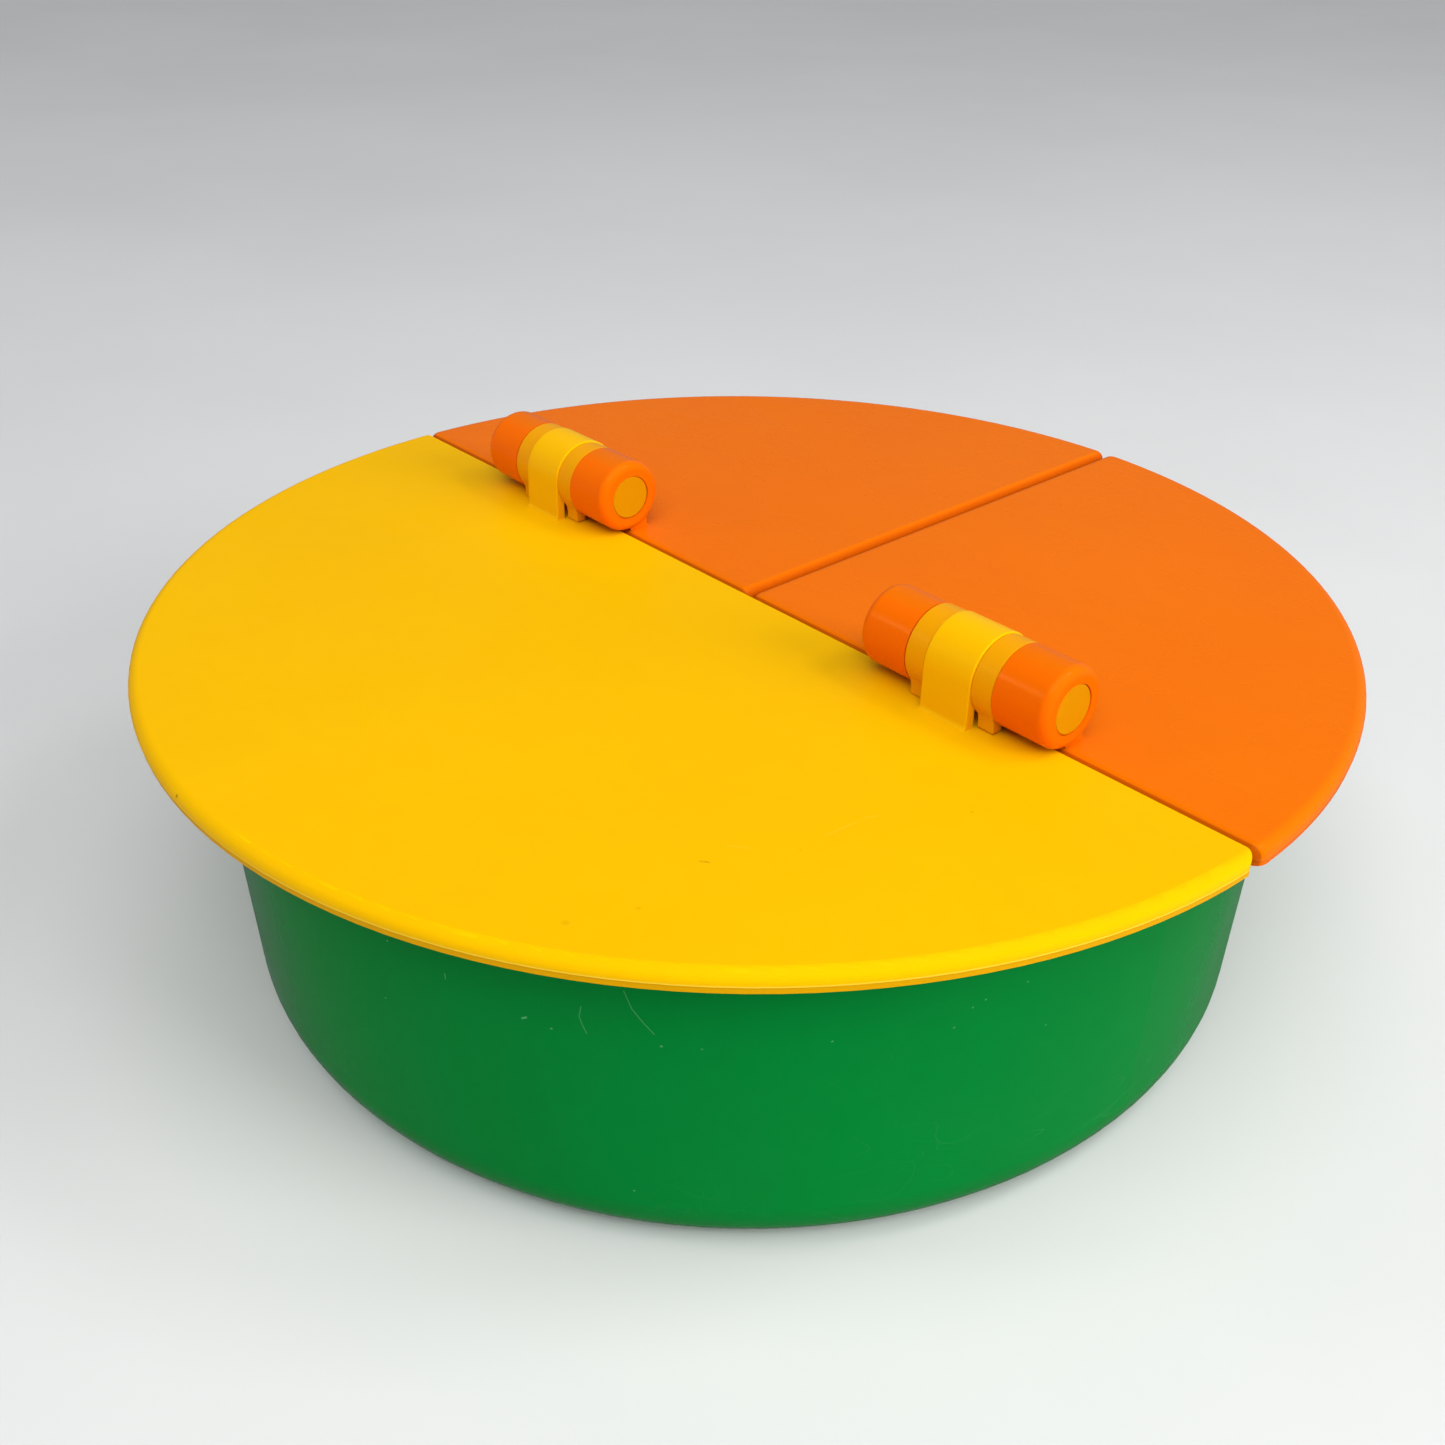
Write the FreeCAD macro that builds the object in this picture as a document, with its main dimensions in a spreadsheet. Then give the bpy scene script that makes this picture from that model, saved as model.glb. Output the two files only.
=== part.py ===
import FreeCAD, Part
import math
import os
import Sketcher

# Round storage case: a tapered tub, a half-disc lid snapped over one half of its
# mouth, and two quarter-disc flaps over the other half.  Each flap turns on a barrel
# hinge that stands on the half lid above the straight seam.
# Frame: millimetres, +Z up, origin under the centre of the base, X along the seam.

V = FreeCAD.Vector
doc = FreeCAD.newDocument("RoundCase")
sheet = doc.addObject("Spreadsheet::Sheet", "Dims")

DIMS = [
    # lid outline
    ("lid_radius", 150.0, "outer radius of the lid and flaps"),
    ("lid_top", 94.4, "height of the lid's top face"),
    ("plate_thk", 3.1, "thickness of the lid and flap plates"),
    ("strip_depth", 1.5, "rim strip below the parting line"),
    ("strip_inset", 0.25, "the strip stands in from the plate's edge"),
    ("lip_width", 3.2, "radial width of the rim strip"),
    ("edge_round", 2.6, "rounding of the top edges"),
    ("seam_yellow", 0.35, "half lid edge to the diameter"),
    ("seam_orange", 0.45, "flap edge to the diameter"),
    ("split_half", 0.45, "flap edge to the split line"),
    ("lid_corner", 3.2, "plan radius of the half lid's corners"),
    ("flap_corner", 3.0, "plan radius of the flap corners"),
    ("flap_gap", 0.2, "closed flap above the tub's brim"),
    # under the lid
    ("rib_radius", 130.9, "half lid locating rib, outside radius"),
    ("rib_thk", 2.0, "half lid locating rib, thickness"),
    ("rib_depth", 7.0, "half lid locating rib, depth"),
    ("beam_thk", 2.6, "stiffener under the seam edge, thickness"),
    ("beam_set", 1.2, "stiffener set back from the seam edge"),
    ("beam_half", 126.0, "stiffener half length"),
    ("flap_rib_radius", 128.6, "flap dust rib, outside radius"),
    ("flap_rib_thk", 1.8, "flap dust rib, thickness"),
    ("flap_rib_depth", 4.0, "flap dust rib, depth"),
    ("flap_rib_end", 9.0, "dust rib stops short of the flap's straight edges"),
    # tub
    ("tub_height", 91.3, "height of the tub's brim"),
    ("tub_mouth", 134.1, "outside radius at the brim"),
    ("tub_base", 130.1, "outside radius carried down to the base plane"),
    ("wall_thk", 2.6, "tub wall"),
    ("floor_thk", 3.0, "tub floor"),
    ("base_recess", 0.8, "base hollow inside the foot ring"),
    ("foot_radius", 104.0, "inside radius of the foot ring"),
    ("base_round", 15.0, "outside rounding of the base"),
    ("inner_round", 12.4, "inside rounding of the base"),
    ("brim_radius", 140.0, "outside radius of the brim"),
    ("brim_thk", 2.4, "brim thickness"),
    # hinges
    ("hinge_x", 75.0, "middle of each hinge along the seam"),
    ("axis_y", 1.25, "hinge axis beyond the diameter"),
    ("axis_rise", 10.4, "hinge axis above the lid"),
    ("knuckle_radius", 9.8, "knuckle outside radius"),
    ("knuckle_start", 12.75, "knuckle inner end from the hinge middle"),
    ("knuckle_len", 14.25, "knuckle length"),
    ("knuckle_round", 2.2, "rounding of the knuckle's outer end"),
    ("web_front", 0.9, "web front face behind the axis"),
    ("web_back", 6.5, "web back face behind the axis"),
    ("web_flare", 1.0, "web flare at its foot"),
    ("web_inset", 1.5, "web stops short of the knuckle's outer end"),
    ("collar_radius", 9.75, "collar outside radius"),
    ("collar_start", 6.93, "collar inner end from the hinge middle"),
    ("collar_len", 5.6, "collar length"),
    ("leg_start", 7.8, "collar leg inner side from the hinge middle"),
    ("leg_len", 4.4, "collar leg width"),
    ("leg_front", 7.3, "collar leg front before the axis"),
    ("leg_back", 4.6, "collar leg back before the axis"),
    ("leg_gap", 0.1, "collar leg above the lid"),
    ("strap_radius", 10.05, "strap outside radius"),
    ("strap_half", 6.85, "strap half width"),
    ("strap_wall", 2.3, "strap front wall thickness"),
    ("strap_lean", 0.2, "strap wall leans forward over its height"),
    ("strap_foot", 0.5, "strap foot stands out from the wall"),
    ("strap_foot_rise", 0.8, "height of the strap's tapered foot"),
    ("strap_foot_blend", 1.2, "blend of the wall into the foot"),
    ("strap_edge", 0.4, "rounding of the strap's side edges"),
    ("leg_blend", 6.0, "blend of the collar leg into its ring"),
    ("tenon_half", 4.5, "strap tenon half width"),
    ("tenon_thk", 1.7, "strap tenon thickness"),
    ("tenon_gap", 0.05, "tenon slot clearance"),
    ("pin_radius", 5.95, "hinge pin radius"),
    ("pin_half", 26.9, "hinge pin half length"),
    ("run_gap", 0.06, "running clearance of the knuckles on the pin"),
    ("seat_gap", 0.02, "clearance of strap and collars on the pin"),
]
for row, (alias, number, note) in enumerate(DIMS, start=1):
    sheet.set("A%d" % row, note)
    sheet.set("B%d" % row, str(number))
    sheet.setAlias("B%d" % row, alias)
doc.recompute()


class Q:
    """A length: its value, and the same length as an expression on the sheet."""

    def __init__(self, text, val):
        self.text, self.val = text, float(val)

    @staticmethod
    def of(other):
        return other if isinstance(other, Q) else Q(repr(float(other)), other)

    def __add__(self, o):
        o = Q.of(o)
        return Q("(%s + %s)" % (self.text, o.text), self.val + o.val)

    def __sub__(self, o):
        o = Q.of(o)
        return Q("(%s - %s)" % (self.text, o.text), self.val - o.val)

    def __mul__(self, o):
        o = Q.of(o)
        return Q("(%s * %s)" % (self.text, o.text), self.val * o.val)

    def __truediv__(self, o):
        o = Q.of(o)
        return Q("(%s / %s)" % (self.text, o.text), self.val / o.val)

    def __neg__(self):
        return Q("(-1 * %s)" % self.text, -self.val)


D = {alias: Q("Dims." + alias, sheet.get(alias)) for alias, number, note in DIMS}
ZERO = Q("0", 0.0)
AXIS_Z = D["lid_top"] + D["axis_rise"]
AXIS_Y = D["axis_y"]
UNDER = D["lid_top"] - D["plate_thk"]


def new_body(label):
    body = doc.addObject("PartDesign::Body", label)
    body.Label = label
    return body


def sketch_on(body, name, role, offset=None):
    plane = [f for f in body.Origin.OriginFeatures if f.Role == role][0]
    sk = body.newObject("Sketcher::SketchObject", name)
    sk.AttachmentSupport = [(plane, "")]
    sk.MapMode = "FlatFace"
    if offset is not None:
        sk.AttachmentOffset = FreeCAD.Placement(V(0, 0, offset.val), FreeCAD.Rotation())
        sk.setExpression("AttachmentOffset.Base.z", offset.text)
    return sk


def dimension(sk, kind, args, q):
    index = sk.addConstraint(Sketcher.Constraint(kind, *args, q.val))
    sk.setExpression("Constraints[%d]" % index, q.text)


def place_x(sk, geo, pos, x):
    if abs(x.val) < 1e-9:
        sk.addConstraint(Sketcher.Constraint("PointOnObject", geo, pos, -2))
    elif x.val > 0:
        dimension(sk, "DistanceX", (-1, 1, geo, pos), x)
    else:
        dimension(sk, "DistanceX", (geo, pos, -1, 1), -x)


def place_y(sk, geo, pos, y):
    if abs(y.val) < 1e-9:
        sk.addConstraint(Sketcher.Constraint("PointOnObject", geo, pos, -1))
    elif y.val > 0:
        dimension(sk, "DistanceY", (-1, 1, geo, pos), y)
    else:
        dimension(sk, "DistanceY", (geo, pos, -1, 1), -y)


def polygon(sk, points):
    n = len(points)
    first = None
    for i in range(n):
        a, b = points[i], points[(i + 1) % n]
        geo = sk.addGeometry(Part.LineSegment(V(a[0].val, a[1].val, 0), V(b[0].val, b[1].val, 0)), False)
        first = geo if first is None else first
    for i in range(n):
        sk.addConstraint(Sketcher.Constraint("Coincident", first + i, 2, first + (i + 1) % n, 1))
    for i, (x, y) in enumerate(points):
        place_x(sk, first + i, 1, x)
        place_y(sk, first + i, 1, y)


def circle(sk, x, y, radius):
    geo = sk.addGeometry(Part.Circle(V(x.val, y.val, 0), V(0, 0, 1), radius.val), False)
    place_x(sk, geo, 3, x)
    place_y(sk, geo, 3, y)
    dimension(sk, "Radius", (geo,), radius)


def arc_on_origin(sk, radius, start, end):
    """Arc about the case's centre, drawn anticlockwise between two angles (degrees)."""
    base = Part.Circle(V(0, 0, 0), V(0, 0, 1), radius.val)
    geo = sk.addGeometry(Part.ArcOfCircle(base, math.radians(start), math.radians(end)), False)
    sk.addConstraint(Sketcher.Constraint("Coincident", geo, 3, -1, 1))
    dimension(sk, "Radius", (geo,), radius)
    return geo


def line(sk, x0, y0, x1, y1):
    return sk.addGeometry(Part.LineSegment(V(x0, y0, 0), V(x1, y1, 0)), False)


def join(sk, g1, p1, g2, p2):
    sk.addConstraint(Sketcher.Constraint("Coincident", g1, p1, g2, p2))


def quarter(sk, side, radius, seam, split):
    """Quarter disc on the +Y side; side is +1 for the right flap and -1 for the left."""
    r, s, x = radius.val, seam.val, split.val
    xe, ye = math.sqrt(r * r - s * s), math.sqrt(r * r - x * x)
    a0, a1 = math.degrees(math.atan2(s, xe)), math.degrees(math.atan2(ye, x))
    if side > 0:
        arc = arc_on_origin(sk, radius, a0, a1)
        seam_end, split_end = 1, 2
    else:
        arc = arc_on_origin(sk, radius, 180 - a1, 180 - a0)
        seam_end, split_end = 2, 1
    seam_line = line(sk, side * x, s, side * xe, s)
    split_line = line(sk, side * x, ye, side * x, s)
    join(sk, seam_line, 2, arc, seam_end)
    join(sk, split_line, 1, arc, split_end)
    join(sk, split_line, 2, seam_line, 1)
    sk.addConstraint(Sketcher.Constraint("Horizontal", seam_line))
    sk.addConstraint(Sketcher.Constraint("Vertical", split_line))
    place_y(sk, seam_line, 1, seam)
    place_x(sk, seam_line, 1, split if side > 0 else -split)


def quarter_ring(sk, side, outer, inner, seam, split):
    """Quarter ring on the +Y side, cut square by the seam and split lines."""
    geos = []
    for radius in (outer, inner):
        r, s, x = radius.val, seam.val, split.val
        a0 = math.degrees(math.atan2(s, math.sqrt(r * r - s * s)))
        a1 = math.degrees(math.atan2(math.sqrt(r * r - x * x), x))
        if side > 0:
            geos.append(arc_on_origin(sk, radius, a0, a1))
        else:
            geos.append(arc_on_origin(sk, radius, 180 - a1, 180 - a0))
    seam_end, split_end = (1, 2) if side > 0 else (2, 1)
    ro, ri, s, x = outer.val, inner.val, seam.val, split.val
    seam_line = line(sk, side * math.sqrt(ri * ri - s * s), s, side * math.sqrt(ro * ro - s * s), s)
    split_line = line(sk, side * x, math.sqrt(ri * ri - x * x), side * x, math.sqrt(ro * ro - x * x))
    join(sk, seam_line, 1, geos[1], seam_end)
    join(sk, seam_line, 2, geos[0], seam_end)
    join(sk, split_line, 1, geos[1], split_end)
    join(sk, split_line, 2, geos[0], split_end)
    sk.addConstraint(Sketcher.Constraint("Horizontal", seam_line))
    sk.addConstraint(Sketcher.Constraint("Vertical", split_line))
    place_y(sk, seam_line, 1, seam)
    place_x(sk, split_line, 1, split if side > 0 else -split)


def lid_section(sk, radius, under, top, rounding, lip, strip_low, inset):
    """Half section of the lid disc: a plate with a rounded top edge and a rim strip below."""
    pts = [(ZERO, under), (radius - lip, under), (radius - lip, strip_low), (radius - inset, strip_low),
           (radius - inset, under), (radius, under), (radius, top - rounding), (radius - rounding, top), (ZERO, top)]
    geos = []
    for i, (a, b) in enumerate(zip(pts, pts[1:] + pts[:1])):
        if i == 6:
            mid = Part.Circle(V((radius - rounding).val, (top - rounding).val, 0), V(0, 0, 1), rounding.val)
            geos.append(sk.addGeometry(Part.ArcOfCircle(mid, 0.0, math.pi / 2), False))
        else:
            geos.append(line(sk, a[0].val, a[1].val, b[0].val, b[1].val))
    for g1, g2 in zip(geos, geos[1:] + geos[:1]):
        join(sk, g1, 2, g2, 1)
    for g, (x, y) in zip(geos, pts):
        place_x(sk, g, 1, x)
        place_y(sk, g, 1, y)
    dimension(sk, "Radius", (geos[6],), rounding)


def seam_cut(sk, radius, corner, seam):
    """Everything beyond the half lid's straight seam edge and its two rounded corners."""
    r, c, s = radius.val, corner.val, seam.val
    reach = radius - corner - 0.05
    d = corner + seam
    cx = Q("sqrt((%s)^2 - (%s)^2)" % (reach.text, d.text), math.sqrt(reach.val ** 2 - d.val ** 2))
    ang = math.atan2(-d.val, cx.val)
    rim = (cx.val + c * math.cos(ang), -d.val + c * math.sin(ang))
    out_x, out_y = rim[0] + 20 * math.sin(ang), rim[1] - 20 * math.cos(ang)
    right = sk.addGeometry(Part.ArcOfCircle(Part.Circle(V(cx.val, -d.val, 0), V(0, 0, 1), c),
                                            2 * math.pi + ang, 2.5 * math.pi), False)
    edge = line(sk, cx.val, -s, -cx.val, -s)
    left = sk.addGeometry(Part.ArcOfCircle(Part.Circle(V(-cx.val, -d.val, 0), V(0, 0, 1), c),
                                           math.pi / 2, math.pi - ang), False)
    far = r + 20
    pts = [(-rim[0], rim[1]), (-out_x, out_y), (-far, out_y), (-far, far), (far, far), (far, out_y), (out_x, out_y), rim]
    geos = [line(sk, *p, *q) for p, q in zip(pts, pts[1:])]
    sk.addConstraint(Sketcher.Constraint("Tangent", right, 2, edge, 1))
    sk.addConstraint(Sketcher.Constraint("Tangent", edge, 2, left, 1))
    sk.addConstraint(Sketcher.Constraint("Tangent", left, 2, geos[0], 1))
    sk.addConstraint(Sketcher.Constraint("Tangent", geos[-1], 2, right, 1))
    for g1, g2 in zip(geos, geos[1:]):
        join(sk, g1, 2, g2, 1)
    for arc, x in ((right, cx), (left, -cx)):
        place_x(sk, arc, 3, x)
        place_y(sk, arc, 3, -d)
        dimension(sk, "Radius", (arc,), corner)
    for g, (x, y) in zip(geos[:-1], pts[1:]):
        place_x(sk, g, 2, Q.of(x))
        place_y(sk, g, 2, Q.of(y))


def knuckle(sk, near, far, k, axis, radius, rounding):
    """Half section of a knuckle beside its axis, with a rounded outer end."""
    x0, x1, y0, r, c = near.val, far.val, axis.val, radius.val, rounding.val
    centre = line(sk, x0, y0, x1, y0)
    sk.toggleConstruction(centre)
    foot = line(sk, x1, y0, x0, y0)
    end = line(sk, x0, y0, x0, y0 + r)
    side = line(sk, x0, y0 + r, x1 - k * c, y0 + r)
    arc_mid = Part.Circle(V(x1 - k * c, y0 + r - c, 0), V(0, 0, 1), c)
    if k > 0:
        arc = sk.addGeometry(Part.ArcOfCircle(arc_mid, 0.0, math.pi / 2), False)
        at_side, at_face = 2, 1
    else:
        arc = sk.addGeometry(Part.ArcOfCircle(arc_mid, math.pi / 2, math.pi), False)
        at_side, at_face = 1, 2
    face = line(sk, x1, y0 + r - c, x1, y0)
    join(sk, foot, 2, end, 1)
    join(sk, end, 2, side, 1)
    sk.addConstraint(Sketcher.Constraint("Tangent", side, 2, arc, at_side))
    sk.addConstraint(Sketcher.Constraint("Tangent", arc, at_face, face, 1))
    join(sk, face, 2, foot, 1)
    join(sk, centre, 1, foot, 2)
    join(sk, centre, 2, foot, 1)
    sk.addConstraint(Sketcher.Constraint("Horizontal", foot))
    sk.addConstraint(Sketcher.Constraint("Vertical", end))
    sk.addConstraint(Sketcher.Constraint("Horizontal", side))
    sk.addConstraint(Sketcher.Constraint("Vertical", face))
    place_x(sk, end, 1, near)
    place_y(sk, end, 1, axis)
    place_x(sk, face, 2, far)
    dimension(sk, "DistanceY", (end, 1, end, 2), radius)
    dimension(sk, "Radius", (arc,), rounding)


def hook(sk, axis_y, axis_z, radius, wall, lean, foot, rise, base, mouth_in, mouth_out):
    """Side outline of a strap: an arc over the axis, tangent to a front wall that runs
    down to a tapered foot, and closed by the wall's back and the mouth underneath."""
    cy, cz, r = axis_y.val, axis_z.val, radius.val
    g_z = axis_z - mouth_out
    gy = math.sqrt(r * r - mouth_out.val ** 2)
    a0, a1 = math.atan2(-mouth_out.val, gy), math.pi - 0.02
    arc = sk.addGeometry(Part.ArcOfCircle(Part.Circle(V(cy, cz, 0), V(0, 0, 1), r), a0, a1), False)
    front = axis_y - radius
    pts = [(front - lean, base + rise), (front - lean - foot, base), (front + wall, base),
           (front + wall, axis_z - mouth_in)]
    xy = [(cy + r * math.cos(a1), cz + r * math.sin(a1))] + [(a.val, b.val) for a, b in pts]
    xy.append((cy + gy, g_z.val))
    geos = [line(sk, *xy[i], *xy[i + 1]) for i in range(len(xy) - 1)]
    sk.addConstraint(Sketcher.Constraint("Tangent", arc, 2, geos[0], 1))
    for g1, g2 in zip(geos, geos[1:]):
        join(sk, g1, 2, g2, 1)
    join(sk, geos[-1], 2, arc, 1)
    place_x(sk, arc, 3, axis_y)
    place_y(sk, arc, 3, axis_z)
    dimension(sk, "Radius", (arc,), radius)
    for g, (y, z) in zip(geos, pts):
        place_x(sk, g, 2, y)
        place_y(sk, g, 2, z)
    place_y(sk, arc, 1, g_z)


def leg(sk, axis_y, axis_z, ring, front, back, foot, blend):
    """Side outline of a collar's leg; its front runs up into the ring in a hollow blend."""
    y0, z0, k = axis_y.val, axis_z.val, blend.val
    reach = ring + blend - 0.02
    out = front + blend
    drop = Q("sqrt((%s)^2 - (%s)^2)" % (reach.text, out.text), math.sqrt(reach.val ** 2 - out.val ** 2))
    turn = math.atan2(drop.val, out.val)
    cy, cz = y0 - out.val, z0 - drop.val
    end = (cy + k * math.cos(turn), cz + k * math.sin(turn))
    arc = sk.addGeometry(Part.ArcOfCircle(Part.Circle(V(cy, cz, 0), V(0, 0, 1), k), 0.0, turn), False)
    top = (axis_z - 4.2)
    pts = [end, (y0 - back.val, top.val), (y0 - back.val, foot.val), (y0 - front.val, foot.val), (y0 - front.val, cz)]
    geos = [line(sk, *p, *q) for p, q in zip(pts, pts[1:])]
    join(sk, arc, 2, geos[0], 1)
    for g1, g2 in zip(geos, geos[1:]):
        join(sk, g1, 2, g2, 1)
    sk.addConstraint(Sketcher.Constraint("Tangent", geos[-1], 2, arc, 1))
    place_x(sk, arc, 3, axis_y - out)
    place_y(sk, arc, 3, axis_z - drop)
    dimension(sk, "Radius", (arc,), blend)
    place_y(sk, arc, 2, Q.of(end[1]))
    for g, (y, z) in zip(geos, ((axis_y - back, top), (axis_y - back, foot), (axis_y - front, foot))):
        place_x(sk, g, 2, y)
        place_y(sk, g, 2, z)


def pad(body, sk, length, name, reverse=False):
    f = body.newObject("PartDesign::Pad", name)
    f.Profile = sk
    f.Length = length.val
    f.setExpression("Length", length.text)
    f.Reversed = reverse
    doc.recompute()
    return f


def pocket(body, sk, length, name, reverse=False):
    before = body.Shape.Volume
    f = body.newObject("PartDesign::Pocket", name)
    f.Profile = sk
    f.Length = length.val
    f.setExpression("Length", length.text)
    f.Reversed = reverse
    doc.recompute()
    if not body.Shape.Volume < before - 1e-3:
        raise RuntimeError("%s cuts nothing" % name)
    return f


def edges(shape, test):
    names = []
    for i, e in enumerate(shape.Edges, start=1):
        if test(e):
            names.append("Edge%d" % i)
    return names


def fillet(body, test, radius, name, count=None):
    base = body.Tip
    names = edges(base.Shape, test)
    if not names or (count is not None and len(names) != count):
        raise RuntimeError("%s found %d edges" % (name, len(names)))
    f = body.newObject("PartDesign::Fillet", name)
    f.Base = (base, names)
    f.Radius = radius.val
    f.setExpression("Radius", radius.text)
    doc.recompute()
    return f


def is_circle(e, radius, at=None, axis=2, tol=1e-3):
    c = e.Curve
    if not isinstance(c, Part.Circle) or abs(c.Radius - radius) > tol:
        return False
    return at is None or abs(c.Center[axis] - at) < tol


def is_upright(e):
    if not isinstance(e.Curve, (Part.Line, Part.LineSegment)):
        return False
    a, b = e.Vertexes[0].Point, e.Vertexes[-1].Point
    return abs(a.x - b.x) < 1e-6 and abs(a.y - b.y) < 1e-6


def flat_at(e, z):
    box = e.BoundBox
    return abs(box.ZMin - z) < 1e-4 and abs(box.ZMax - z) < 1e-4


# ---------------------------------------------------------------- tub
tub = new_body("tub")
sk = sketch_on(tub, "TubSection", "XZ_Plane")
brim_low = D["tub_height"] - D["brim_thk"]
wall_at_brim = D["tub_base"] + (D["tub_mouth"] - D["tub_base"]) * (brim_low / D["tub_height"])
floor_top = D["base_recess"] + D["floor_thk"]
polygon(sk, [
    (ZERO, D["base_recess"]),
    (D["foot_radius"], D["base_recess"]),
    (D["foot_radius"] + 0.8, ZERO),
    (D["tub_base"], ZERO),
    (wall_at_brim, brim_low),
    (D["brim_radius"], brim_low),
    (D["brim_radius"], D["tub_height"]),
    (D["tub_mouth"] - D["wall_thk"], D["tub_height"]),
    (D["tub_base"] - D["wall_thk"], floor_top),
    (ZERO, floor_top),
])
rev = tub.newObject("PartDesign::Revolution", "TubTurn")
rev.Profile = sk
rev.ReferenceAxis = (sk, ["V_Axis"])
rev.Angle = 360.0
doc.recompute()
fillet(tub, lambda e: is_circle(e, D["tub_base"].val, 0.0), D["base_round"], "BaseRound")
fillet(tub, lambda e: is_circle(e, (D["tub_base"] - D["wall_thk"]).val, floor_top.val), D["inner_round"], "FloorRound")
fillet(tub, lambda e: is_circle(e, D["brim_radius"].val), Q("1.0", 1.0), "BrimEdge")
fillet(tub, lambda e: is_circle(e, wall_at_brim.val, brim_low.val), Q("1.6", 1.6), "BrimRoot")
fillet(tub, lambda e: is_circle(e, (D["tub_mouth"] - D["wall_thk"]).val, D["tub_height"].val), Q("0.8", 0.8), "MouthEdge")

# ---------------------------------------------------------------- half lid
half_lid = new_body("half_lid")
strip_low = UNDER - D["strip_depth"]
top = D["lid_top"].val
sk = sketch_on(half_lid, "LidSection", "XZ_Plane")
lid_section(sk, D["lid_radius"], UNDER, D["lid_top"], D["edge_round"], D["lip_width"], strip_low, D["strip_inset"])
rev = half_lid.newObject("PartDesign::Revolution", "LidTurn")
rev.Profile = sk
rev.ReferenceAxis = (sk, ["V_Axis"])
rev.Angle = 360.0
doc.recompute()
sk = sketch_on(half_lid, "SeamOutline", "XY_Plane", strip_low - 1)
seam_cut(sk, D["lid_radius"], D["lid_corner"], D["seam_yellow"])
pocket(half_lid, sk, D["strip_depth"] + D["plate_thk"] + 2, "SeamCut", reverse=True)
# locating rib and stiffener
sk = sketch_on(half_lid, "RibOutline", "XY_Plane", UNDER)
rib_in = D["rib_radius"] - D["rib_thk"]
rib_end = D["seam_yellow"] + D["beam_set"]
ro, ri, s = D["rib_radius"].val, rib_in.val, rib_end.val
a_out, a_in = math.degrees(math.asin(s / ro)), math.degrees(math.asin(s / ri))
g_out = arc_on_origin(sk, D["rib_radius"], 180 + a_out, 360 - a_out)
g_in = arc_on_origin(sk, rib_in, 180 + a_in, 360 - a_in)
g_r = line(sk, ri * math.cos(math.radians(a_in)), -s, ro * math.cos(math.radians(a_out)), -s)
g_l = line(sk, -ro * math.cos(math.radians(a_out)), -s, -ri * math.cos(math.radians(a_in)), -s)
join(sk, g_r, 1, g_in, 2)
join(sk, g_r, 2, g_out, 2)
join(sk, g_l, 1, g_out, 1)
join(sk, g_l, 2, g_in, 1)
for g in (g_r, g_l):
    sk.addConstraint(Sketcher.Constraint("Horizontal", g))
    place_y(sk, g, 1, -rib_end)
pad(half_lid, sk, D["rib_depth"], "LocatingRib", reverse=True)
sk = sketch_on(half_lid, "BeamOutline", "XY_Plane", UNDER)
b0 = -(D["seam_yellow"] + D["beam_set"])
b1 = b0 - D["beam_thk"]
polygon(sk, [(-D["beam_half"], b1), (D["beam_half"], b1), (D["beam_half"], b0), (-D["beam_half"], b0)])
pad(half_lid, sk, D["rib_depth"], "Stiffener", reverse=True)
# slots for the strap tenons
wall_mid = AXIS_Y - D["strap_radius"] + D["strap_wall"] / 2
t_lo = wall_mid - D["tenon_thk"] / 2 - D["tenon_gap"]
t_hi = wall_mid + D["tenon_thk"] / 2 + D["tenon_gap"]
for side, word in ((1, "Right"), (-1, "Left")):
    mid = D["hinge_x"] if side > 0 else -D["hinge_x"]
    sk = sketch_on(half_lid, "Slot%s" % word, "XY_Plane", D["lid_top"])
    x0, x1 = mid - D["tenon_half"] - D["tenon_gap"], mid + D["tenon_half"] + D["tenon_gap"]
    polygon(sk, [(x0, t_lo), (x1, t_lo), (x1, t_hi), (x0, t_hi)])
    pocket(half_lid, sk, D["plate_thk"], "TenonSlot%s" % word)

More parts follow.
